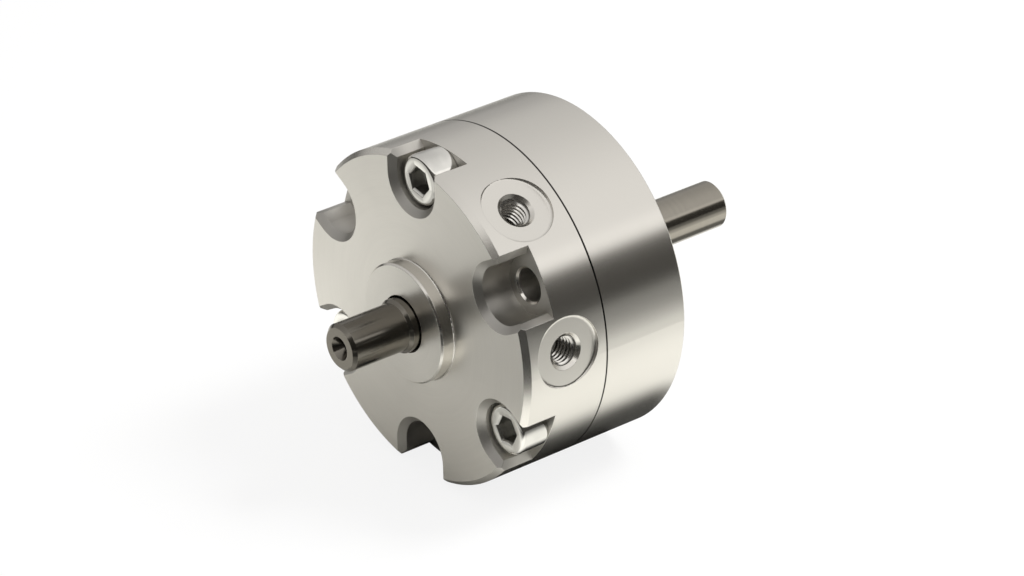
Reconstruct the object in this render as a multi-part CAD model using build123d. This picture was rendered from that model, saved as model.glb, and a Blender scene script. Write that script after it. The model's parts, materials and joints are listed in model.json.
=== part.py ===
"""Single-vane pneumatic rotary actuator, in millimetres.

The shaft lies along Y. The front face with the pilot boss looks along -Y, and the
origin is the centre of the rear mounting face. +Z is up. Angles are counted about
the shaft from +X towards +Z.
"""
import os
from math import asin, cos, degrees, radians, sin, sqrt, tan

from build123d import *

# Housing, two round bodies clamped face to face
body_d = 56.0
front_len = 16.0
rear_len = 16.0
rim_chamfer = 0.9
joint_break = 0.15
rear_break = 0.25

# Pilot boss on the front face
boss_d = 20.0
boss_h = 2.5
boss_chamfer = 0.3
boss_root = 0.25
boss_bore_gap = 0.3

# Six open notches in the front rim: three hold clamp screws, three mounting holes
notch_side_gap = 0.65
notch_inner_gap = 0.3
notch_chamfer = 1.1
notch_depth = 6.5
first_notch_angle = 30.0
notch_pitch = 60.0
mount_hole_d = 5.5
mouth_break = 0.35

# Clamp screws, socket head cap type
screw_d = 5.0
screw_head_d = 8.5
screw_head_h = 5.0
screw_head_break = 0.6
screw_len = 18.0
socket_across_flats = 4.0
socket_depth = 2.6
screw_clearance = 0.05
thread_spare = 2.0
thread_clearance = 0.02

# Air ports, either side of one notch
port_half_angle = 25.0
port_from_face = 8.3
port_spot_d = 12.0
port_spot_depth = 0.7
port_spot_corner = 0.5
port_thread_d = 5.0
port_thread_len = 6.5
port_mouth_break = 0.55
port_passage_d = 2.5

# Vane chamber
chamber_wall = 5.25
chamber_rear_wall = 3.0
end_gap = 0.05
wipe_gap = 0.05

# Shaft
shaft_d = 8.0
front_reach = 15.0
rear_reach = 30.0
front_end_chamfer = 0.6
rear_end_chamfer = 0.4
collar_step = 0.5
collar_proud = 1.2
journal_step = 1.0
rear_journal_proud = 0.6
hub_step = 2.0
centre_mouth_d = 4.0
centre_pilot_d = 2.1
centre_pilot_len = 5.0
centre_angle = 60.0
drill_angle = 118.0

# Vane and stopper
swing = 270.0
stop_margin = 0.3
vane_plate_t = 3.0
vane_seal_w = 6.0
vane_root_r = 2.5
vane_edge = 1.6
lip_w = 2.0
lip_relief = 0.5
vane_pin_d = 2.0
vane_pin_inset = 5.0
vane_pin_short = 0.3
stopper_seal_w = 2.0
stopper_seal_h = 1.5
stopper_pin_d = 2.0
stopper_pin_wall = 0.8
stopper_pin_hold = 2.5

# Joint seal and dowels
joint_seal_land = 1.2
joint_seal_w = 1.7
joint_seal_h = 1.2
dowel_d = 3.0
dowel_len = 8.0
dowel_angles = (120.0, 300.0)

# Ball bearings, both alike
bearing_section = 2.5
bearing_w = 3.0
ball_d = 1.5
ball_count = 9
land_gap = 0.8
race_clearance = 0.03
cage_side_gap = 0.12
cage_end_gap = 0.25
shield_t = 0.2
shield_inset = 0.05
shield_gap = 0.06

# Bearing seats, shaft seals and retaining ring
front_seat_floor = 0.6
carrier_len = 3.4
shaft_seal_h = 1.4
shaft_seal_w = 1.6
shaft_seal_break = 0.4
ring_land = 0.6
ring_w = 0.8
ring_groove_depth = 0.5
ring_radial = 1.2
ring_gap_angle = 40.0
ring_eye_d = 1.0
ring_lug_r = 0.95
fit_clearance = 0.01
shaft_clearance = 0.05
seal_clearance = 0.03

# Stations along the shaft, worked out from the sizes above
rear_face = 0.0
joint_face = rear_face - rear_len
front_face = joint_face - front_len
boss_face = front_face - boss_h
notch_floor = front_face + notch_depth
front_bearing_y = front_face + front_seat_floor
carrier_front = front_bearing_y + bearing_w
chamber_front = carrier_front + carrier_len
rear_bearing_y = rear_face - ring_land - ring_w - bearing_w
chamber_rear = rear_bearing_y - chamber_rear_wall
front_seal_y = (carrier_front + chamber_front - shaft_seal_w) / 2
rear_seal_y = (chamber_rear + rear_bearing_y - shaft_seal_w) / 2
hub_front = chamber_front + end_gap
hub_rear = chamber_rear - end_gap
port_y = front_face + port_from_face

# Widths and radii worked out from the sizes above. The screw heads come flush with the side.
body_r = body_d / 2
bolt_r = body_r - screw_head_d / 2
notch_w = screw_head_d + 2 * notch_side_gap
notch_inner_r = bolt_r - screw_head_d / 2 - notch_inner_gap
chamber_r = bolt_r - screw_d / 2 - chamber_wall
seal_ring_r = chamber_r + joint_seal_land
shaft_r = shaft_d / 2
collar_r = shaft_r + collar_step
boss_bore_r = collar_r + boss_bore_gap
journal_r = shaft_r + journal_step
hub_r = journal_r + hub_step
seat_r = journal_r + bearing_section
stopper_inner_r = hub_r + wipe_gap
stopper_pin_r = (stopper_inner_r + stopper_seal_h + chamber_r) / 2
vane_pin_r = (vane_root_r + hub_r) / 2
vane_tip_r = chamber_r - wipe_gap
seal_bore_r = journal_r + shaft_clearance
seal_groove_r = journal_r + shaft_seal_h
pitch_r = (journal_r + seat_r) / 2

# The stopper stands between the ports and the vane rests opposite to it
stopper_angle = first_notch_angle
vane_angle = stopper_angle + 180.0
vane_half_angle = degrees(asin(vane_seal_w / 2 / stopper_inner_r))
stopper_half_angle = (360.0 - swing) / 2 - vane_half_angle - stop_margin
pin_wall_angle = degrees(asin((stopper_pin_d / 2 + stopper_pin_wall) / stopper_pin_r))
stopper_pin_half_angle = stopper_half_angle - pin_wall_angle
notch_angles = [first_notch_angle + notch_pitch * k for k in range(6)]
mount_angles = notch_angles[0::2]
screw_angles = notch_angles[1::2]
stopper_pin_angles = [stopper_angle + side * stopper_pin_half_angle for side in (-1, 1)]
port_angles = [stopper_angle + side * port_half_angle for side in (-1, 1)]


def turned(profile):
    """Solid turned about the shaft axis from (radius, y) corners."""
    return revolve(make_face(Polyline(*profile, close=True)), Axis.Y, 360)


def ring(inner_r, outer_r, y_start, y_end):
    """Plain ring about the shaft axis."""
    return turned([(inner_r, y_start), (outer_r, y_start), (outer_r, y_end), (inner_r, y_end)])


def around(angle, radius, y=0.0):
    """Location on a circle about the shaft: its X points outward and its Y lies along the shaft."""
    return Rotation(0, -angle, 0) * Pos(radius, y, 0)


def rod(angle, radius, rod_r, y_start, y_end):
    """Round bar parallel to the shaft."""
    bar = Pos(0, y_end, 0) * Rotation(90, 0, 0) * Cylinder(
        rod_r, y_end - y_start, align=(Align.CENTER, Align.CENTER, Align.MIN))
    return around(angle, radius) * bar


def flared_mouth(angle, radius, hole_r, y, depth_sign, size):
    """Countersink cutter at the mouth of a hole parallel to the shaft."""
    inner = y + depth_sign * size
    face = make_face(Polyline((0, y), (hole_r + size, y), (hole_r, inner), (0, inner), close=True))
    return around(angle, radius) * revolve(face, Axis.Y, 360)


def radial(angle, y, profile, rounded=None, round_r=0.0):
    """Solid turned about a radial axis from (distance from shaft axis, radius) corners.

    The corner named as rounded gets an arc.
    """
    face = make_face(Polyline(*profile, close=True))
    if rounded:
        face = fillet(face.vertices().sort_by_distance(rounded)[0], round_r)
    return around(angle, 0, y) * revolve(face, Axis.X, 360)


def wedge(angle, half_angle, inner_r, outer_r, y_start, y_end):
    """Sector of a ring, centred on an angle about the shaft."""
    sector = ring(inner_r, outer_r, y_start, y_end)
    reach = 2 * outer_r
    a = radians(half_angle)
    cutter = make_face(Polyline(
        (0, 0), (reach * cos(a), reach * sin(a)), (reach * cos(a), -reach * sin(a)), close=True))
    cutter = Rotation(90, 0, 0) * cutter
    cutter = Pos(0, y_end, 0) * extrude(cutter, y_end - y_start)
    return sector & (around(angle, 0) * cutter)


def block(angle, inner_r, outer_r, width, y_start, y_end):
    """Box standing radially from the shaft."""
    box = Pos(0, y_start, 0) * Box(
        outer_r - inner_r, y_end - y_start, width, align=(Align.MIN, Align.MIN, Align.CENTER))
    return around(angle, inner_r) * box


def notch_cutter(angle):
    """U-shaped cutter whose sides run out of the rim, with a chamfer all round its mouth."""
    half = notch_w / 2
    wide = half + 2 * notch_chamfer
    y_start = front_face - notch_chamfer
    y_narrow = front_face + notch_chamfer
    round_r = notch_inner_r + half
    rim_r = sqrt(body_r ** 2 - (half + notch_chamfer) ** 2)
    inner_wall = revolve(make_face(Polyline(
        (0, y_start), (wide, y_start), (half, y_narrow), (half, notch_floor), (0, notch_floor),
        close=True)), Axis.Y, 360)
    trough = make_face(Polyline(
        (0, y_start, -wide), (0, y_narrow, -half), (0, notch_floor, -half),
        (0, notch_floor, half), (0, y_narrow, half), (0, y_start, wide), close=True))
    rim_flare = make_face(Polyline(
        (rim_r - notch_chamfer, y_start, -half), (rim_r - notch_chamfer, y_start, half),
        (rim_r + notch_chamfer, y_start, wide), (rim_r + notch_chamfer, y_start, -wide), close=True))
    cutter = around(angle, round_r) * inner_wall
    cutter += around(angle, round_r) * extrude(trough, body_r, dir=(1, 0, 0))
    return cutter + around(angle, 0) * extrude(rim_flare, notch_floor - y_start, dir=(0, 1, 0))


def port_cutter(angle):
    """Spot face, threaded hole drawn at its outer diameter, and the passage to the chamber."""
    spot_floor = body_r - port_spot_depth
    spot_r = port_spot_d / 2
    thread_r = port_thread_d / 2
    hole_end = spot_floor - port_thread_len
    passage_r = port_passage_d / 2
    return radial(angle, port_y, [
        (chamber_r - wipe_gap - passage_r, 0),
        (chamber_r - wipe_gap - passage_r, passage_r),
        (hole_end - (thread_r - passage_r) / tan(radians(drill_angle / 2)), passage_r),
        (hole_end, thread_r),
        (spot_floor - port_mouth_break, thread_r),
        (spot_floor, thread_r + port_mouth_break),
        (spot_floor, spot_r),
        (body_r + port_spot_depth, spot_r),
        (body_r + port_spot_depth, 0)], (spot_floor, spot_r), port_spot_corner)


def stopper_pin_holes(y_start, y_end):
    """The two dowel holes of the stopper, between two stations."""
    pin_r = stopper_pin_d / 2 + fit_clearance
    holes = [rod(a, stopper_pin_r, pin_r, y_start, y_end) for a in stopper_pin_angles]
    return holes[0] + holes[1]


def make_front_body():
    """Front half: boss, notches, ports, bearing seat and half the chamber."""
    body = turned([
        (boss_bore_r, boss_face),
        (boss_d / 2 - boss_chamfer, boss_face),
        (boss_d / 2, boss_face + boss_chamfer),
        (boss_d / 2, front_face),
        (body_r - rim_chamfer, front_face),
        (body_r, front_face + rim_chamfer),
        (body_r, joint_face - joint_break),
        (body_r - joint_break, joint_face),
        (chamber_r, joint_face),
        (chamber_r, chamber_front),
        (seat_r + fit_clearance, chamber_front),
        (seat_r + fit_clearance, front_bearing_y),
        (boss_bore_r, front_bearing_y)])
    root = body.edges().filter_by(GeomType.CIRCLE).filter_by(
        lambda e: abs(e.radius - boss_d / 2) < 1e-6 and abs(e.center().Y - front_face) < 1e-6)
    body = fillet(root, boss_root)
    screw_hole_r = screw_d / 2 + screw_clearance
    for hole_r, angles in ((mount_hole_d / 2, mount_angles), (screw_hole_r, screw_angles)):
        for angle in angles:
            body -= notch_cutter(angle)
            body -= rod(angle, bolt_r, hole_r, notch_floor - notch_depth, joint_face + notch_depth)
            body -= flared_mouth(angle, bolt_r, hole_r, notch_floor, 1, mouth_break)
    for angle in port_angles:
        body -= port_cutter(angle)
    body -= stopper_pin_holes(chamber_front - stopper_pin_hold, chamber_front + stopper_pin_hold)
    for angle in dowel_angles:
        body -= rod(angle, bolt_r, dowel_d / 2 + fit_clearance,
                    joint_face - dowel_len / 2, joint_face + dowel_len)
    return body


def make_rear_body():
    """Rear half: other half of the chamber, rear bearing seat, threaded and mounting holes."""
    groove_rear = rear_seal_y + shaft_seal_w
    ring_front = rear_bearing_y + bearing_w
    body = turned([
        (body_r - joint_break, joint_face),
        (body_r, joint_face + joint_break),
        (body_r, rear_face - rear_break),
        (body_r - rear_break, rear_face),
        (seat_r + fit_clearance, rear_face),
        (seat_r + fit_clearance, ring_front + ring_w),
        (seat_r + ring_groove_depth, ring_front + ring_w),
        (seat_r + ring_groove_depth, ring_front),
        (seat_r + fit_clearance, ring_front),
        (seat_r + fit_clearance, rear_bearing_y),
        (seal_bore_r, rear_bearing_y),
        (seal_bore_r, groove_rear),
        (seal_groove_r, groove_rear),
        (seal_groove_r, rear_seal_y),
        (seal_bore_r, rear_seal_y),
        (seal_bore_r, chamber_rear),
        (chamber_r, chamber_rear),
        (chamber_r, joint_face)])
    body -= ring(seal_ring_r, seal_ring_r + joint_seal_w,
                 joint_face - joint_seal_h, joint_face + joint_seal_h)
    for angle in mount_angles:
        body -= rod(angle, bolt_r, mount_hole_d / 2, joint_face - rear_len, rear_face + rear_len)
        body -= flared_mouth(angle, bolt_r, mount_hole_d / 2, rear_face, -1, mouth_break)
    for angle in screw_angles:
        body -= rod(angle, bolt_r, screw_d / 2 + thread_clearance,
                    joint_face - rear_len, notch_floor + screw_len + thread_spare)
    body -= stopper_pin_holes(chamber_rear - stopper_pin_hold, chamber_rear + stopper_pin_hold)
    for angle in dowel_angles:
        body -= rod(angle, bolt_r, dowel_d / 2 + fit_clearance,
                    joint_face - dowel_len, joint_face + dowel_len / 2)
    return body


def make_screw():
    """Cap screw at the top of its own axis: head towards -Y, seat at y = 0."""
    head_r = screw_head_d / 2
    screw = turned([
        (0, -screw_head_h),
        (head_r - screw_head_break, -screw_head_h),
        (head_r, -screw_head_h + screw_head_break),
        (head_r, 0),
        (screw_d / 2, 0),
        (screw_d / 2, screw_len - screw_head_break),
        (screw_d / 2 - screw_head_break, screw_len),
        (0, screw_len)])
    hexagon = RegularPolygon(socket_across_flats / 2, 6, major_radius=False)
    socket = Pos(0, -screw_head_h, 0) * Rotation(-90, 0, 0) * extrude(hexagon, socket_depth)
    corner_r = socket_across_flats / sqrt(3)
    cone = turned([(0, -screw_head_h), (corner_r, -screw_head_h),
                   (0, -screw_head_h + corner_r)])
    return screw - socket - cone


def make_clamp_screws():
    """Three equal screws, seated on the floors of every second notch."""
    screw = make_screw()
    return [around(angle, bolt_r, notch_floor) * screw for angle in screw_angles]


def make_dowels():
    """Two dowels across the joint of the bodies."""
    half = dowel_len / 2 - fit_clearance
    return [rod(a, bolt_r, dowel_d / 2, joint_face - half, joint_face + half)
            for a in dowel_angles]


def make_joint_seal():
    """O-ring, pressed flat in its groove."""
    return ring(seal_ring_r + fit_clearance, seal_ring_r + joint_seal_w - fit_clearance,
                joint_face, joint_face + joint_seal_h)


def make_stopper():
    """Fixed shoe that closes the chamber between the two ports."""
    shoe = wedge(stopper_angle, stopper_half_angle, stopper_inner_r, chamber_r - fit_clearance,
                 chamber_front, chamber_rear)
    shoe -= stopper_pin_holes(chamber_front, chamber_rear)
    return shoe - block(stopper_angle, 0, stopper_inner_r + stopper_seal_h, stopper_seal_w,
                        chamber_front, chamber_rear)


def make_stopper_seal():
    """Strip seal in the shoe, wiping the hub along its whole length."""
    strip = block(stopper_angle, 0, stopper_inner_r + stopper_seal_h, stopper_seal_w,
                  chamber_front, chamber_rear)
    return strip - ring(0, hub_r + seal_clearance, chamber_front, chamber_rear)


def make_stopper_pins():
    """Two dowels that run through the shoe into both bodies."""
    start = chamber_front - stopper_pin_hold + fit_clearance
    end = chamber_rear + stopper_pin_hold - fit_clearance
    return [rod(a, stopper_pin_r, stopper_pin_d / 2, start, end)
            for a in stopper_pin_angles]


def make_output_shaft():
    """Stepped shaft with a slotted hub for the vane and a centre hole in its front end."""
    front_end = front_face - front_reach
    rear_end = rear_face + rear_reach
    journal_end = rear_face + rear_journal_proud
    mouth_r = centre_mouth_d / 2
    pilot_r = centre_pilot_d / 2
    cone_len = (mouth_r - pilot_r) / tan(radians(centre_angle / 2))
    tip_len = pilot_r / tan(radians(drill_angle / 2))
    shaft = turned([
        (mouth_r, front_end),
        (shaft_r - front_end_chamfer, front_end),
        (shaft_r, front_end + front_end_chamfer),
        (shaft_r, boss_face - collar_proud - collar_step),
        (collar_r, boss_face - collar_proud),
        (collar_r, front_bearing_y),
        (journal_r, front_bearing_y),
        (journal_r, hub_front),
        (hub_r, hub_front),
        (hub_r, hub_rear),
        (journal_r, hub_rear),
        (journal_r, journal_end),
        (shaft_r, journal_end),
        (shaft_r, rear_end - rear_end_chamfer),
        (shaft_r - rear_end_chamfer, rear_end),
        (0, rear_end),
        (0, front_end + centre_pilot_len + tip_len),
        (pilot_r, front_end + centre_pilot_len),
        (pilot_r, front_end + cone_len)])
    shaft -= vane_blank(vane_root_r - fit_clearance, hub_r + wipe_gap, fit_clearance)
    for pin in make_vane_pins(fit_clearance):
        shaft -= pin
    return shaft


def vane_blank(inner_r, outer_r, clearance):
    """Flat plate along the shaft, with an allowance on its faces and ends."""
    return block(vane_angle, inner_r, outer_r, vane_plate_t + 2 * clearance,
                 hub_front + vane_edge - clearance, hub_rear - vane_edge + clearance)


def make_vane_pins(clearance=0.0):
    """Two cross pins through the hub and the root of the vane."""
    pin_r = vane_pin_d / 2 + clearance
    outer_side = vane_pin_r + vane_pin_d / 2
    half_len = sqrt(hub_r ** 2 - outer_side ** 2) - vane_pin_short + 2 * clearance
    pins = []
    for y in (hub_front + vane_pin_inset, hub_rear - vane_pin_inset):
        pins.append(around(vane_angle, vane_pin_r, y) * Cylinder(pin_r, 2 * half_len))
    return pins


def make_vane():
    """Steel plate that carries the moulded seal."""
    plate = vane_blank(vane_root_r, vane_tip_r - vane_edge, 0.0)
    for pin in make_vane_pins(fit_clearance):
        plate -= pin
    return plate


def make_vane_seal():
    """Rubber moulded round the plate, hollowed on both flanks so that four lips are left."""
    body = block(vane_angle, 0, chamber_r, vane_seal_w, hub_front, hub_rear)
    body &= ring(hub_r + fit_clearance, vane_tip_r, hub_front, hub_rear)
    for side in (-1, 1):
        relief = block(vane_angle, hub_r + lip_w, vane_tip_r - lip_w, lip_relief,
                       hub_front + lip_w, hub_rear - lip_w)
        shift = side * (vane_seal_w - lip_relief) / 2
        body -= Rotation(0, -vane_angle, 0) * Pos(0, 0, shift) * Rotation(0, vane_angle, 0) * relief
    return body - vane_blank(vane_root_r, vane_tip_r - vane_edge, 0.0)


def make_seal_carrier():
    """Bush behind the front bearing that holds the front shaft seal and ends the chamber."""
    groove_rear = front_seal_y + shaft_seal_w
    return turned([
        (seal_bore_r, carrier_front),
        (seat_r, carrier_front),
        (seat_r, chamber_front),
        (seal_bore_r, chamber_front),
        (seal_bore_r, groove_rear),
        (seal_groove_r, groove_rear),
        (seal_groove_r, front_seal_y),
        (seal_bore_r, front_seal_y)])


def make_shaft_seal(groove_y):
    """Shaft seal ring that fills the groove starting at groove_y, with its wiping edge bevelled."""
    inner = journal_r + seal_clearance
    outer = seal_groove_r - fit_clearance
    start = groove_y + fit_clearance
    end = groove_y + shaft_seal_w - fit_clearance
    return turned([
        (inner, start + shaft_seal_break),
        (inner + shaft_seal_break, start),
        (outer, start),
        (outer, end),
        (inner + shaft_seal_break, end),
        (inner, end - shaft_seal_break)])


def race_groove():
    """Ring of round section in which the balls run."""
    section = Pos(pitch_r, 0, 0) * Circle(ball_d / 2 + race_clearance)
    return revolve(section, Axis.Y, 360)


def make_bearing(y_start):
    """The five pieces of a shielded ball bearing that starts at y_start, by name."""
    groove = Pos(0, y_start + bearing_w / 2, 0) * race_groove()
    inner_land = pitch_r - land_gap / 2
    outer_land = pitch_r + land_gap / 2
    y_end = y_start + bearing_w
    cage_mid = y_start + bearing_w / 2
    pocket_r = ball_d / 2 + race_clearance
    cage_end = shield_inset + shield_t + cage_end_gap
    balls = []
    cage = ring(inner_land + cage_side_gap, outer_land - cage_side_gap,
                y_start + cage_end, y_end - cage_end)
    for k in range(ball_count):
        angle = 360.0 * k / ball_count
        balls.append(around(angle, pitch_r, cage_mid) * Sphere(ball_d / 2))
        cage -= radial(angle, cage_mid, [(inner_land, 0), (inner_land, pocket_r),
                                         (outer_land, pocket_r), (outer_land, 0)])
    shield_starts = (y_start + shield_inset, y_end - shield_inset - shield_t)
    shields = [ring(inner_land + shield_gap, outer_land, y, y + shield_t) for y in shield_starts]
    return {
        "inner_ring": ring(journal_r, inner_land, y_start, y_end) - groove,
        "outer_ring": ring(outer_land, seat_r, y_start, y_end) - groove,
        "balls": balls,
        "cage": cage,
        "shields": shields}


def make_retaining_ring():
    """Spring ring in the groove behind the rear bearing, with two eyes for pliers."""
    y_start = rear_bearing_y + bearing_w
    y_end = y_start + ring_w
    outer_r = seat_r + ring_groove_depth - fit_clearance
    inner_r = outer_r - ring_radial
    lug_circle = inner_r
    half_gap = ring_gap_angle / 2
    body = ring(inner_r, outer_r, y_start, y_end)
    body -= wedge(vane_angle, half_gap, 0, body_r, y_start, y_end)
    eye_offset = half_gap + degrees(asin(ring_lug_r / lug_circle))
    for side in (-1, 1):
        angle = vane_angle + side * eye_offset
        body += rod(angle, lug_circle, ring_lug_r, y_start, y_end)
        body -= rod(angle, lug_circle, ring_eye_d / 2, y_start, y_end)
    return body


def main():
    """Build every piece and write one STEP file for each node."""
    nodes = {
        "front_body": make_front_body(),
        "rear_body": make_rear_body(),
        "clamp_screws": make_clamp_screws(),
        "joint_seal": make_joint_seal(),
        "body_dowels": make_dowels(),
        "stopper": make_stopper(),
        "stopper_seal": make_stopper_seal(),
        "stopper_pins": make_stopper_pins(),
        "output_shaft": make_output_shaft(),
        "vane": make_vane(),
        "vane_seal": make_vane_seal(),
        "vane_pins": make_vane_pins(),
        "front_seal_carrier": make_seal_carrier(),
        "front_shaft_seal": make_shaft_seal(front_seal_y),
        "rear_shaft_seal": make_shaft_seal(rear_seal_y),
        "retaining_ring": make_retaining_ring()}
    for place, y_start in (("front", front_bearing_y), ("rear", rear_bearing_y)):
        for name, piece in make_bearing(y_start).items():
            nodes[f"{place}_bearing_{name}"] = piece
    os.makedirs("parts", exist_ok=True)
    for name, piece in nodes.items():
        shape = Compound(children=piece) if isinstance(piece, list) else piece
        export_step(shape, f"parts/{name}.step")


main()
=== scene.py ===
"""Looks of the vane rotary actuator: finishes, port threads, cap screws, light and camera.

Lengths are in metres and angles in degrees unless a name says otherwise. The shaft lies
along Y, the pilot boss looks along -Y and +Z is up.
"""
import json
from math import cos, radians, sin

import bpy
import numpy as np
from mathutils import Matrix, Vector


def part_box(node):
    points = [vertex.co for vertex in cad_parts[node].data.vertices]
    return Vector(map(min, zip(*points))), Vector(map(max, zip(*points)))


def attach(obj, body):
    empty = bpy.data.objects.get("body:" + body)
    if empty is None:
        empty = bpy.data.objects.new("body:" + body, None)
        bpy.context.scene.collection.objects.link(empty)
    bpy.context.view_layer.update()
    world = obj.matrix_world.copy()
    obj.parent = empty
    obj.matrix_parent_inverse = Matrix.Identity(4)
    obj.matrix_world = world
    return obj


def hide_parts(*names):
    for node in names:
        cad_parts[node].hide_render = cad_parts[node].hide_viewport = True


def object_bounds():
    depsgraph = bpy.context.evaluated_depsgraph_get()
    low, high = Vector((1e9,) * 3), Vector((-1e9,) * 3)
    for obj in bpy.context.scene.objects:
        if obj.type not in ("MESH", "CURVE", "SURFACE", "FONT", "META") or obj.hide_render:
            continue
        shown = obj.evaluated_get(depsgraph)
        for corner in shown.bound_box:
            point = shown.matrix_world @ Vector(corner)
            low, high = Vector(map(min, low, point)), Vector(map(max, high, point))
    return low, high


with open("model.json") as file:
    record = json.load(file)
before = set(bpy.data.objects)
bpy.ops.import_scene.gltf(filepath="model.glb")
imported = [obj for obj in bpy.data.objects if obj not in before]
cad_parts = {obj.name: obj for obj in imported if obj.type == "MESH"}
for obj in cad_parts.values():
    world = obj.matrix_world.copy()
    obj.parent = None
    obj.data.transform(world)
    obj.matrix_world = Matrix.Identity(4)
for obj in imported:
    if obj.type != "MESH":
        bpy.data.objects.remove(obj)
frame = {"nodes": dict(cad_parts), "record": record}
cad_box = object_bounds()
MM = 0.001

# Stations and radii of the housing, read from the frame where it has them
body_low, body_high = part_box("front_body")
screw_low, screw_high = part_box("clamp_screws")
body_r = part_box("rear_body")[1].x
joint_y = body_high.y
boss_h = 2.5 * MM
front_y = body_low.y + boss_h
rim_chamfer = 0.9 * MM
rear_break = 0.25 * MM
hole_break = 0.35 * MM
shaft_end_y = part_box("output_shaft")[0].y

# Camera, fitted to the circles and straight edges of the housing
camera_azimuth = 51.715
camera_elevation = 27.634
camera_roll = -1.256
camera_distance = 732.0 * MM
camera_slide = (-4.24 * MM, -2.71 * MM)
camera_target = Vector((0.0, -7.0 * MM, 0.0))
focal_px = 4556.3
picture_px = 1024
sensor_mm = 36.0

# Cap screws
screw_r = 2.5 * MM
head_r = 4.25 * MM
head_h = 5.0 * MM
head_round = 0.8 * MM
socket_flats = 4.0 * MM
socket_depth = 2.6 * MM
socket_lead = 0.35 * MM
screw_tip_break = 0.5 * MM
screw_angles = (90.0, 210.0, 330.0)
screw_turns = (-10.5, 25.0, 3.0)
notch_floor = screw_low.y + head_h
bolt_r = body_r - head_r

# Port threads, M5 x 0.8
port_angles = (55.0, 5.0)
port_y = front_y + 8.3 * MM
spot_r = body_r - 0.7 * MM
thread_r = 2.5 * MM
thread_crest_r = 2.08 * MM
thread_pitch = 0.8 * MM
thread_top = spot_r - 0.5 * MM
thread_turns = 7.0
thread_gap = 0.01 * MM

# Turned metals: rounding of edges, drift of the grooves round the axis, scale of handling
edge_round = 0.10 * MM
hoop_drift = 0.0003
smudge_scale = 90.0

# Finish of the housing: roughness, and tones as a share of the alloy's colour, which paint shade in
# the pockets and the seam and paint light on the hole lips and spot faces
skin = 0.03 * MM
milled_rough = 0.42
lip_rough = 0.16
end_face_duller = 0.06
boss_side_glossier = 0.1
mouth_shade_tone, pocket_shade_tone, pocket_floor_shade_tone = 0.6, 0.92, 0.66
lip_highlight_tone = 1.2
spot_face_light_tone = 1.1
seam_shade_tone = 0.06

# Studio light: brightness of its dark part, and the lower edge of its bright part
dark_part = 0.10
light_tilt = 0.376
light_edge = (0.297, 0.357)
bright_height, bright_gain = 0.40, 1.3

# Table: its tones in gloss, a painted pool of light and painted shadows, and its tone and share of
# plain white for the camera
floor_z = cad_box[0].z
floor_r = 1.2
pool_place = (-0.04, joint_y + 0.03, floor_z)
pool_reach = (0.08, 0.22)
pool_tone, outer_tone, front_tone = 0.80, 0.31, 0.55
body_shadow, shaft_shadow = 0.93, 0.8
close_lift = 0.2
near_gloom, far_gloom = 0.42, 0.46
seen_floor_tone, seen_floor_glow = 0.88, 0.86


def mesh_piece(name, points, faces, body, material, sharp_angle=35.0, recess=None):
    """Object at the origin from an array of points and quads, smooth but for edges past an angle.

    Recess is a number per point, 0 in the open and 1 deep in hollows, where shade is painted and
    dirt and oil stay.
    """
    mesh = bpy.data.meshes.new(name)
    mesh.from_pydata(points.reshape(-1, 3).tolist(), [], faces.tolist())
    mesh.update()
    if recess is not None:
        layer = mesh.attributes.new("recess", "FLOAT", "POINT")
        layer.data.foreach_set("value", np.ascontiguousarray(recess, np.float32).ravel())
    mesh.polygons.foreach_set("use_smooth", np.ones(len(mesh.polygons), bool))
    mesh.set_sharp_from_angle(angle=radians(sharp_angle))
    mesh.materials.append(material)
    piece = bpy.data.objects.new(name, mesh)
    bpy.context.scene.collection.objects.link(piece)
    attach(piece, body)
    return piece


def grid_quads(rows, columns, first=0):
    """Quads of a grid whose columns close on themselves, as rows of four point numbers."""
    i = np.arange(rows - 1)[:, None] * columns
    j = np.arange(columns)[None, :]
    k = (j + 1) % columns
    quads = np.stack([i + j, i + k, i + columns + k, i + columns + j], axis=-1)
    return quads.reshape(-1, 4) + first


def port_thread_points(angle):
    """Ridge of V section wound inside the port.

    Along the helix t, the ridge centre climbs one pitch per turn. Its section is a closed
    triangle with a flat crest, whose height grows from zero and falls back to zero over the
    first and last half turn. Recess, which paints shade and some dirt in the roots, falls from 1
    at the root to 0 at half the flank.
    """
    steps = int(thread_turns * 56)
    t = np.linspace(0.0, thread_turns, steps)
    rise = np.clip(np.minimum(t, thread_turns - t) / 0.5, 0.0, 1.0)
    half = 0.44 * thread_pitch
    flat = thread_pitch / 8
    middle = (half + flat) / 2
    across = np.array([-half, -middle, -flat, flat, middle, half, 0.0])
    height = np.array([0.0, 0.5, 1.0, 1.0, 0.5, 0.0, -0.02])
    foot = thread_r - thread_gap
    r = foot - (foot - thread_crest_r) * rise[:, None] * height
    depth = thread_pitch * t[:, None] + across * (0.15 + 0.85 * rise[:, None])
    turn = 2 * np.pi * t[:, None] + 0 * across
    out = thread_top - depth
    along = r * np.cos(turn)
    side = r * np.sin(turn)
    a = radians(angle)
    x = out * cos(a) - side * sin(a)
    z = out * sin(a) + side * cos(a)
    recess = np.clip(1 - 2 * rise[:, None] * height, 0.0, 1.0)
    return np.stack([x, port_y + along, z], axis=-1), recess


def make_port_threads(material):
    """The internal threads of both ports, each its own piece."""
    for name, angle in zip("ab", port_angles):
        points, recess = port_thread_points(angle)
        rows, columns = points.shape[:2]
        faces = grid_quads(rows, columns)
        mesh_piece(f"port_{name}_thread", points, faces, "housing", material, 25.0, recess)


def rounded_corner(centre_r, centre_y, radius, start, end, count=7):
    """Arc of a turned profile, as (radius, y) pairs from one angle to another."""
    turn = np.radians(np.linspace(start, end, count))
    return np.stack([centre_r + radius * np.cos(turn), centre_y + radius * np.sin(turn)], axis=-1)


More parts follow.
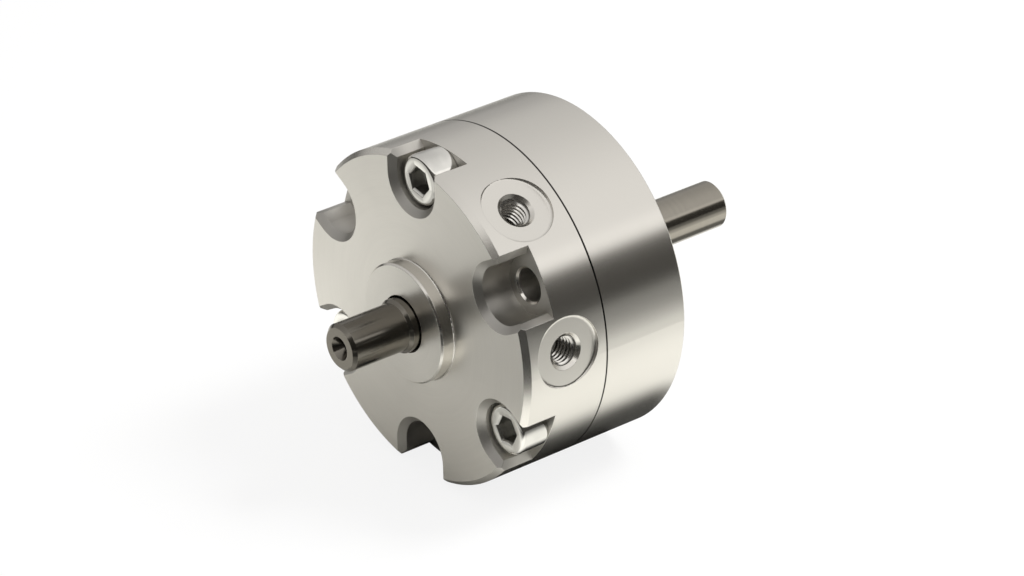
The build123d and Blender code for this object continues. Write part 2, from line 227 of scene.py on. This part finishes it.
def cap_screw_points(angle, socket_turn):
    """Cap screw as a grid: stations along its section by angles about its axis.

    Each station has a radius, a height and a share s. Its outline is the circle for s = 0 and
    the hexagon r = apothem / cos(angle to the nearest flat's middle) for s = 1, so the grid
    runs down the hexagonal socket, over the head, and along the shank to the tip.
    """
    columns = 144
    turn = np.arange(columns) * 2 * np.pi / columns
    to_flat = (turn + np.pi / 6) % (np.pi / 3) - np.pi / 6
    hexagon = 1 / np.cos(to_flat)
    flat_r = socket_flats / 2
    top = -head_h
    stations = [(1e-6, top + socket_depth + 0.55 * MM, 0.0),
                (0.9 * flat_r, top + socket_depth, 1.0),
                (flat_r - 0.04 * MM, top + socket_depth - 0.06 * MM, 1.0),
                (flat_r, top + socket_depth - 0.15 * MM, 1.0),
                (flat_r, top + socket_lead, 1.0),
                (flat_r + 0.85 * socket_lead, top + 0.04 * MM, 0.95),
                (flat_r + 1.1 * socket_lead, top, 0.9)]
    inside = len(stations) - 2
    arc = rounded_corner(head_r - head_round, top + head_round, head_round, -90.0, 0.0)
    stations += [(r, y, 0.0) for r, y in arc]
    stations += [(head_r, -0.12 * MM, 0.0),
                 (head_r - 0.12 * MM, 0.0, 0.0),
                 (screw_r, 0.0, 0.0),
                 (screw_r, screw_high.y - notch_floor - screw_tip_break, 0.0),
                 (screw_r - screw_tip_break, screw_high.y - notch_floor, 0.0),
                 (1e-6, screw_high.y - notch_floor, 0.0)]
    section = np.array(stations)
    share = section[:, 2:3]
    r = section[:, 0:1] * (1 - share + share * hexagon)
    y = section[:, 1:2] + 0 * r
    tilt = turn + radians(socket_turn)
    local_x = r * np.cos(tilt)
    local_z = r * np.sin(tilt)
    a = radians(angle)
    x = (bolt_r + local_x) * cos(a) - local_z * sin(a)
    z = (bolt_r + local_x) * sin(a) + local_z * cos(a)
    # recess is 1 down the socket, where shade is painted with some dirt
    recess = (np.arange(len(section)) < inside)[:, None] + 0.0 * r
    return np.stack([x, y + notch_floor, z], axis=-1), recess


def make_cap_screws(material):
    """Three screws in one mesh, which stands for the plain turned ones."""
    made = [cap_screw_points(a, s) for a, s in zip(screw_angles, screw_turns)]
    grids = np.stack([points for points, recess in made])
    recess = np.stack([recess for points, recess in made])
    rows, columns = grids.shape[1:3]
    firsts = np.arange(len(grids)) * rows * columns
    faces = np.concatenate([grid_quads(rows, columns, first) for first in firsts])
    screws = mesh_piece("cap_screws", grids, faces, "housing", material, 28.0, recess)
    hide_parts("clamp_screws")


class Nodes:
    """Short names for wiring a node tree."""

    def __init__(self, tree):
        self.tree = tree
        tree.nodes.clear()

    def add(self, kind, inputs=None, **settings):
        """Node of a kind, with settings on it and values or links on its inputs."""
        node = self.tree.nodes.new(kind)
        for key, value in settings.items():
            setattr(node, key, value)
        for key, value in (inputs or {}).items():
            if isinstance(value, bpy.types.NodeSocket):
                self.tree.links.new(value, node.inputs[key])
            else:
                node.inputs[key].default_value = value
        return node

    def math(self, operation, *values):
        """Result of a math node on numbers or sockets."""
        node = self.add("ShaderNodeMath", dict(enumerate(values)), operation=operation)
        return node.outputs[0]

    def ramp(self, value, low, high, start=0.0, end=1.0):
        """Smooth step from start to end as value goes from low to high."""
        node = self.add("ShaderNodeMapRange", {
            "Value": value, "From Min": low, "From Max": high, "To Min": start, "To Max": end},
            interpolation_type="SMOOTHSTEP")
        return node.outputs["Result"]

    def mix(self, factor, first, second):
        """Colour between two colours."""
        node = self.add("ShaderNodeMix", {"Factor": factor}, data_type="RGBA")
        for socket, value in ((node.inputs[6], first), (node.inputs[7], second)):
            if isinstance(value, bpy.types.NodeSocket):
                self.tree.links.new(value, socket)
            else:
                socket.default_value = value
        return node.outputs[2]

    def times(self, *values):
        """Product of numbers or sockets."""
        product = values[0]
        for value in values[1:]:
            product = self.math("MULTIPLY", product, value)
        return product

    def largest(self, *values):
        """Largest of some numbers or sockets."""
        most = values[0]
        for value in values[1:]:
            most = self.math("MAXIMUM", most, value)
        return most

    def dim(self, value, share, amount=1.0):
        """Value made smaller by an amount where share is 1."""
        return self.times(value, self.math("MULTIPLY_ADD", share, -amount, 1.0))

    def wobble(self, value, noise, swing):
        """Value moved up and down by a noise, by half the swing each way."""
        return self.math("MULTIPLY_ADD", self.math("SUBTRACT", noise, 0.5), swing, value)

    def band(self, value, middle, near, far, peak=1.0, rest=0.0):
        """Peak within near of the middle, and a smooth step to rest at far from it."""
        off = self.math("ABSOLUTE", self.math("SUBTRACT", value, middle))
        return self.ramp(off, near, far, peak, rest)

    def noise(self, vector, scale, detail=2.0, rough=0.5):
        """Noise value from 0 to 1."""
        node = self.add("ShaderNodeTexNoise", {
            "Vector": vector, "Scale": scale, "Detail": detail, "Roughness": rough})
        return node.outputs["Fac"]


def rgba(colour, factor=1.0):
    """Four-number colour, made lighter or darker by a factor."""
    return tuple(min(c * factor, 1.0) for c in colour) + (1.0,)


def housing_zones(n, place, normal, radius, colour, rough, base):
    """Roughness and colour of the housing, zone by zone, from those of its turned outside.

    Outside, the end faces are duller, the boss's side is glossier and the spot faces are painted
    paler as painted light. Pockets are milled, with painted shade on their mouth and floor and a
    bright painted highlight on the lip round each hole, and the joint shows as a dark seam of
    painted shade.
    """
    x, y, z = n.add("ShaderNodeSeparateXYZ", {"Vector": place}).outputs
    side = n.math("GREATER_THAN", radius, body_r - skin)
    front = n.math("LESS_THAN", y, front_y + skin)
    back = n.math("GREATER_THAN", y, -rear_break)
    cone = n.math("GREATER_THAN", n.math("SUBTRACT", radius, y),
                  body_r - rim_chamfer - front_y - 0.05 * MM)
    outward = n.add("ShaderNodeCombineXYZ", {"X": x, "Z": z}).outputs[0]
    outward = n.add("ShaderNodeVectorMath", {0: outward}, operation="NORMALIZE").outputs[0]
    facing = n.add("ShaderNodeVectorMath", {0: outward, 1: normal},
                   operation="DOT_PRODUCT").outputs["Value"]
    spot = n.times(n.math("GREATER_THAN", facing, 0.6),
                   n.math("GREATER_THAN", radius, spot_r - 0.9 * MM))
    turned = n.largest(side, front, back, cone, spot)
    pocket = n.math("SUBTRACT", 1.0, turned)

    along = n.add("ShaderNodeSeparateXYZ", {"Vector": normal}).outputs[1]
    end_face = n.math("GREATER_THAN", n.math("ABSOLUTE", along), 0.9)
    boss_side = n.dim(n.math("LESS_THAN", y, front_y - 0.1 * MM), end_face)
    rough = n.math("MULTIPLY_ADD", end_face, end_face_duller, rough)
    rough = n.math("MULTIPLY_ADD", boss_side, -boss_side_glossier, rough)
    rough = n.math("ADD", n.times(rough, turned), n.times(pocket, milled_rough))
    # painted shade: pocket mouths and walls are darker than the turned outside
    inside = n.ramp(y, front_y + 0.5 * MM, front_y + 4.0 * MM)
    cut = n.mix(inside, rgba(colour, mouth_shade_tone), rgba(colour, pocket_shade_tone))
    base = n.mix(turned, cut, base)

    # painted shade on the pocket floors
    pocket_floor = n.times(pocket, n.math("COMPARE", y, notch_floor, 0.02 * MM))
    base = n.mix(pocket_floor, base, rgba(colour, pocket_floor_shade_tone))
    # painted highlight: the lip round each hole is made brighter as well as glossier
    half = hole_break / 2
    lip = n.times(pocket, n.math("COMPARE", y, notch_floor + half, half - 0.01 * MM))
    rough = n.math("MULTIPLY_ADD", lip, lip_rough - milled_rough, rough)
    base = n.mix(lip, base, rgba(colour, lip_highlight_tone))
    # painted light: the spot faces are made paler than the turned outside
    base = n.mix(spot, base, rgba(colour, spot_face_light_tone))
    # painted shade: the joint's groove is made nearly black
    seam = n.times(n.band(y, joint_y, 0.11 * MM, 0.2 * MM),
                   n.math("GREATER_THAN", radius, body_r - 0.3 * MM))
    return rough, n.mix(seam, base, rgba(colour, seam_shade_tone))


def turned_metal(name, colour, roughness, anisotropy, groove_scale, groove_depth,
                 streak=0.006, tone=0.03, housing=False, front_shade=None, blotch=0.05):
    """Turned metal: grooves run round the shaft axis and stretch the gloss across themselves.

    The grooves' pattern is noise over (radius, station) with a slow change round the axis, so
    it makes rings on faces and hoops on cylinders. Streak and tone are how much it changes the
    gloss and the colour, and blotch is how much handling changes the gloss. Housing gives the
    zones of the housing, with their painted shade and light. The tone given for what stands in
    front of the boss paints shade there, but not on its end face.
    """
    material = bpy.data.materials.new(name)
    material.use_nodes = True
    n = Nodes(material.node_tree)
    coordinates = n.add("ShaderNodeTexCoord")
    place = coordinates.outputs["Object"]
    x, y, z = n.add("ShaderNodeSeparateXYZ", {"Vector": place}).outputs
    radius = n.math("SQRT", n.math("ADD", n.times(x, x), n.times(z, z)))
    hoop = n.times(n.math("ARCTAN2", z, x), hoop_drift)
    ring_place = n.add("ShaderNodeCombineXYZ", {"X": radius, "Y": y, "Z": hoop}).outputs[0]
    grooves = n.noise(ring_place, groove_scale, 3.0, 0.65)
    bands = n.noise(ring_place, groove_scale / 9, 2.0)
    smudge = n.noise(place, smudge_scale, 3.0)
    rough = n.wobble(n.wobble(roughness, bands, 2 * streak), smudge, blotch)
    shade = n.times(n.math("ADD", bands, grooves), 0.5)
    base = n.mix(n.ramp(shade, 0.3, 0.7), rgba(colour, 1 - tone), rgba(colour, 1 + tone))
    base = n.mix(n.ramp(smudge, 0.45, 0.8, 0.0, 5 * blotch), base, rgba(colour, 0.86))
    if housing:
        normal = coordinates.outputs["Normal"]
        rough, base = housing_zones(n, place, normal, radius, colour, rough, base)
    # painted shade: the shaft ahead of the boss is darkened, but not its end face
    if front_shade:
        boss_y = front_y - boss_h
        ahead = n.ramp(y, boss_y, boss_y + 0.5 * MM, 1.0, 0.0)
        flank = n.ramp(y, shaft_end_y + 0.02 * MM, shaft_end_y + 0.08 * MM)
        base = n.mix(n.times(ahead, flank), base, rgba(colour, front_shade))
    around = n.add("ShaderNodeVectorMath", {0: (0.0, 1.0, 0.0), 1: place}, operation="CROSS_PRODUCT")
    tangent = n.add("ShaderNodeVectorTransform", {"Vector": around.outputs[0]}, vector_type="VECTOR",
                    convert_from="OBJECT", convert_to="WORLD").outputs[0]
    rounded = n.add("ShaderNodeBevel", {"Radius": edge_round}, samples=4).outputs[0]
    bump = n.add("ShaderNodeBump", {"Height": grooves, "Distance": groove_depth, "Strength": 1.0,
                                    "Normal": rounded}).outputs[0]
    shader = n.add("ShaderNodeBsdfPrincipled", {
        "Base Color": base, "Roughness": rough, "Metallic": 1.0, "Anisotropic": anisotropy,
        "Anisotropic Rotation": 0.25, "Tangent": tangent, "Normal": bump})
    n.add("ShaderNodeOutputMaterial", {"Surface": shader.outputs[0]})
    return material


def plain_metal(name, colour, roughness, grain_scale=900.0, grain=0.05, edge=0.08 * MM,
                dirt_and_shade=0.0):
    """Plated, ground or pressed metal: even gloss with fine grain and faint stains.

    The recess attribute makes the piece darker and duller by the given amount: painted shade in its
    hollows, with some dirt.
    """
    material = bpy.data.materials.new(name)
    material.use_nodes = True
    n = Nodes(material.node_tree)
    place = n.add("ShaderNodeTexCoord").outputs["Object"]
    fine = n.noise(place, grain_scale, 3.0)
    stain = n.noise(place, 220.0, 2.0)
    rough = n.wobble(roughness, fine, 2 * grain)
    base = n.mix(n.ramp(stain, 0.35, 0.75), rgba(colour), rgba(colour, 0.82))
    # painted shade in the hollows, with some dirt, from the recess attribute
    if dirt_and_shade:
        recess = n.add("ShaderNodeAttribute", attribute_name="recess").outputs["Fac"]
        recess_darkening = n.times(recess, dirt_and_shade)
        base = n.mix(recess_darkening, base, (0.03, 0.03, 0.028, 1.0))
        rough = n.math("MULTIPLY_ADD", recess_darkening, 0.25, rough)
    rounded = n.add("ShaderNodeBevel", {"Radius": edge}, samples=4).outputs[0]
    bump = n.add("ShaderNodeBump", {"Height": fine, "Distance": 0.002 * MM, "Strength": 1.0,
                                    "Normal": rounded}).outputs[0]
    shader = n.add("ShaderNodeBsdfPrincipled", {
        "Base Color": base, "Roughness": rough, "Metallic": 1.0, "Normal": bump})
    n.add("ShaderNodeOutputMaterial", {"Surface": shader.outputs[0]})
    return material


def moulded_rubber(name):
    """Black nitrile rubber with a fine moulded grain and a dusty bloom."""
    material = bpy.data.materials.new(name)
    material.use_nodes = True
    n = Nodes(material.node_tree)
    place = n.add("ShaderNodeTexCoord").outputs["Object"]
    grain = n.noise(place, 2600.0, 2.0)
    bloom = n.noise(place, 160.0, 3.0)
    base = n.mix(n.ramp(bloom, 0.4, 0.8), (0.018, 0.018, 0.018, 1.0), (0.05, 0.048, 0.045, 1.0))
    rough = n.ramp(bloom, 0.3, 0.7, 0.42, 0.6)
    bump = n.add("ShaderNodeBump", {"Height": grain, "Distance": 0.01 * MM, "Strength": 1.0})
    shader = n.add("ShaderNodeBsdfPrincipled", {
        "Base Color": base, "Roughness": rough, "Normal": bump.outputs[0]})
    n.add("ShaderNodeOutputMaterial", {"Surface": shader.outputs[0]})
    return material


def make_finishes():
    """One material for each slot of the record."""
    alloy = (0.752, 0.73, 0.685)
    steel = (0.62, 0.6, 0.57)
    return {
        "body": turned_metal("turned_alloy", alloy, 0.26, 0.55, 9000.0, 0.000025 * MM,
                             tone=0.02, housing=True),
        "shaft": turned_metal("dark_ground_shaft", (0.37, 0.345, 0.30), 0.18, 0.3, 14000.0,
                              0.0002 * MM, streak=0.01, front_shade=0.52, blotch=0.008),
        "screw": plain_metal("nickel_plated_screw", (0.90, 0.887, 0.845), 0.12, dirt_and_shade=0.45),
        "dowel": plain_metal("ground_pin_steel", steel, 0.22),
        "stopper": plain_metal("milled_stopper", (0.7, 0.68, 0.65), 0.36),
        "bearing_steel": turned_metal("bearing_steel", (0.68, 0.67, 0.65), 0.12, 0.3, 16000.0,
                                      0.0003 * MM),
        "cage": plain_metal("pressed_sheet", (0.6, 0.585, 0.55), 0.3, 1400.0),
        "spring_steel": plain_metal("blackened_spring", (0.1, 0.1, 0.105), 0.38, 1200.0),
        "bronze": turned_metal("bronze_bush", (0.62, 0.43, 0.22), 0.28, 0.4, 9000.0, 0.0006 * MM),
        "rubber": moulded_rubber("nitrile_rubber")}


def dress_cad_nodes(finishes):
    """Give each node of the frame the finish of its slot."""
    for row in frame["record"]["subparts"]:
        node = frame["nodes"][row["node"]]
        finish = finishes[row["material_slot"]]
        for slot in node.material_slots:
            slot.material = finish
        if not node.material_slots:
            node.data.materials.append(finish)


def toward_camera(n, x, y):
    """How far a place or direction reaches towards the camera over the table."""
    a = radians(camera_azimuth)
    return n.math("SUBTRACT", n.times(x, sin(a)), n.times(y, cos(a)))


def light_world():
    """Studio round the part: a wide overhead light, dark on the side where the camera stands.

    Brightness is a smooth step on the height above a plane that tilts up towards the camera.
    It is brightest along its lower edge and fades towards -X and the horizon, and the dark
    part is warmer. Camera rays see plain white.
    """
    world = bpy.data.worlds.new("studio")
    bpy.context.scene.world = world
    world.use_nodes = True
    n = Nodes(world.node_tree)
    direction = n.add("ShaderNodeTexCoord").outputs["Generated"]
    x, y, z = n.add("ShaderNodeSeparateXYZ", {"Vector": direction}).outputs
    height = n.math("SUBTRACT", z, n.times(toward_camera(n, x, y), light_tilt))
    lit = n.ramp(height, *light_edge, dark_part, 1.0)
    brighter = n.band(height, bright_height, 0.04, 0.14, bright_gain, 1.0)
    fade = n.times(n.ramp(x, -0.9, 0.5, 0.58, 0.86), n.ramp(z, -0.05, 0.5, 0.5, 1.0))
    seen = n.add("ShaderNodeLightPath").outputs["Is Camera Ray"]
    strength = n.math("ADD", n.dim(n.times(lit, brighter, fade), seen), seen)
    tint = n.mix(lit, (1.0, 0.95, 0.86, 1.0), (1.0, 0.985, 0.965, 1.0))
    tint = n.mix(seen, tint, (1.0, 1.0, 1.0, 1.0))
    glow = n.add("ShaderNodeBackground", {"Color": tint, "Strength": strength})
    n.add("ShaderNodeOutputWorld", {"Surface": glow.outputs[0]})


def table_painted_light(n, place):
    """Tone of the table top as gloss sees it: a painted pool of light behind the part, less its
    painted shadows.

    The painted pool falls off with distance. Painted shadow makes the table dark under the body
    and under the rear shaft; painted light makes it lighter close in front of the part, and
    painted shade makes it darker towards the camera, to the right and far to the left. Well ahead
    of the part it is no darker than front_tone, so that the front face keeps its painted light in
    views from straight ahead.
    """
    x, y, z = n.add("ShaderNodeSeparateXYZ", {"Vector": place}).outputs
    away = n.add("ShaderNodeVectorMath", {0: place, 1: pool_place},
                 operation="DISTANCE").outputs["Value"]
    tone = n.ramp(away, *pool_reach, pool_tone, outer_tone)
    # painted shadows: the table is darkened under the body and under the rear shaft
    body_shadow_mask = n.times(n.band(x, 0.0, 0.022, 0.031), n.band(y, joint_y + 6 * MM, 0.016, 0.026))
    shaft_shadow_mask = n.times(n.band(x, 0.005, 0.006, 0.014), n.band(y, 0.033, 0.016, 0.026))
    tone = n.dim(n.dim(tone, body_shadow_mask, body_shadow), shaft_shadow_mask, shaft_shadow)
    # painted light close in front of the part, and painted shade towards the camera
    close = n.times(n.ramp(y, -0.066, -0.054), n.ramp(y, -0.042, -0.030, 1.0, 0.0))
    tone = n.dim(tone, close, -close_lift)
    toward = toward_camera(n, x, y)
    gloom = n.math("ADD", n.ramp(toward, -0.008, 0.014, 0.0, near_gloom),
                   n.ramp(toward, 0.035, 0.10, 0.0, far_gloom))
    tone = n.dim(tone, n.times(n.ramp(y, -0.066, -0.050, 1.0, 0.0), gloom))
    # painted shade to the right and far to the left, and painted light kept well ahead of the part
    tone = n.times(tone, n.ramp(x, 0.04, 0.11, 1.0, 0.55), n.ramp(x, -0.4, -0.2, 0.7, 1.0))
    distant = n.times(n.ramp(y, -0.20, -0.13, front_tone, 0.0), n.ramp(x, 0.08, 0.14, 1.0, 0.0))
    near = n.times(n.ramp(y, -0.12, -0.085, front_tone, 0.0), n.ramp(x, 0.01, 0.04, 1.0, 0.0))
    return n.largest(tone, distant, near)


def make_floor():
    """Pale round table top that the part lies on, with a painted pool of light and painted shadows
    for gloss, and its shadow kept faint for the camera.
    """
    material = bpy.data.materials.new("white_table")
    material.use_nodes = True
    n = Nodes(material.node_tree)
    tone = table_painted_light(n, n.add("ShaderNodeTexCoord").outputs["Object"])
    seen = n.add("ShaderNodeLightPath").outputs["Is Camera Ray"]
    tone = n.math("ADD", n.dim(tone, seen), n.times(seen, seen_floor_tone))
    blue = n.times(tone, n.math("MULTIPLY_ADD", seen, 0.04, 0.96))
    colour = n.add("ShaderNodeCombineXYZ", {"X": tone, "Y": tone, "Z": blue}).outputs[0]
    surface = n.add("ShaderNodeBsdfDiffuse", {"Color": colour})
    white = n.add("ShaderNodeEmission", {"Color": (1.0, 1.0, 1.0, 1.0), "Strength": 1.0})
    share = n.times(seen, seen_floor_glow)
    blend = n.add("ShaderNodeMixShader", {0: share, 1: surface.outputs[0], 2: white.outputs[0]})
    n.add("ShaderNodeOutputMaterial", {"Surface": blend.outputs[0]})
    rings, sides = 24, 96
    r = np.linspace(0.0, floor_r, rings)[:, None] + 1e-6
    t = np.arange(sides)[None, :] * 2 * np.pi / sides
    points = np.stack([r * np.cos(t), r * np.sin(t), floor_z + 0 * r * t], axis=-1)
    mesh = bpy.data.meshes.new("floor")
    mesh.from_pydata(points.reshape(-1, 3).tolist(), [], grid_quads(rings, sides)[:, ::-1].tolist())
    mesh.materials.append(material)
    floor = bpy.data.objects.new("floor", mesh)
    bpy.context.scene.collection.objects.link(floor)


def make_lamp(name, place, size, power):
    """Square soft lamp that points at the part and that neither gloss nor the camera sees."""
    data = bpy.data.lights.new(name, "AREA")
    data.shape = "SQUARE"
    data.size = size
    data.energy = power
    lamp = bpy.data.objects.new(name, data)
    lamp.visible_glossy = False
    lamp.visible_camera = False
    lamp.location = place
    lamp.rotation_euler = (-Vector(place)).to_track_quat("-Z", "Y").to_euler()
    bpy.context.scene.collection.objects.link(lamp)


def make_camera():
    """Camera at the photograph's viewing angle, turned about its own axis by the fitted roll."""
    a, e, roll = radians(camera_azimuth), radians(camera_elevation), radians(camera_roll)
    back = Vector((sin(a) * cos(e), -cos(a) * cos(e), sin(e)))
    right = Vector((cos(a), sin(a), 0.0))
    up = back.cross(right)
    right, up = cos(roll) * right + sin(roll) * up, cos(roll) * up - sin(roll) * right
    slide = camera_slide[0] * right + camera_slide[1] * up
    data = bpy.data.cameras.new("camera")
    data.sensor_width = sensor_mm
    data.lens = focal_px * sensor_mm / picture_px
    data.clip_start, data.clip_end = 0.05, 10.0
    camera = bpy.data.objects.new("camera", data)
    turn = Matrix((right, up, back)).transposed().to_4x4()
    camera.matrix_world = Matrix.Translation(camera_target + camera_distance * back + slide) @ turn
    bpy.context.scene.collection.objects.link(camera)
    bpy.context.scene.camera = camera


scene_finishes = make_finishes()
dress_cad_nodes(scene_finishes)
make_cap_screws(scene_finishes["screw"])
make_port_threads(plain_metal("cut_thread", (0.88, 0.86, 0.82), 0.16, edge=0.03 * MM, dirt_and_shade=0.75))
light_world()
make_floor()
make_lamp("overhead", (0.25, 0.3, 0.6), 0.22, 4.5)
make_camera()
bpy.context.scene.view_settings.view_transform = "Standard"
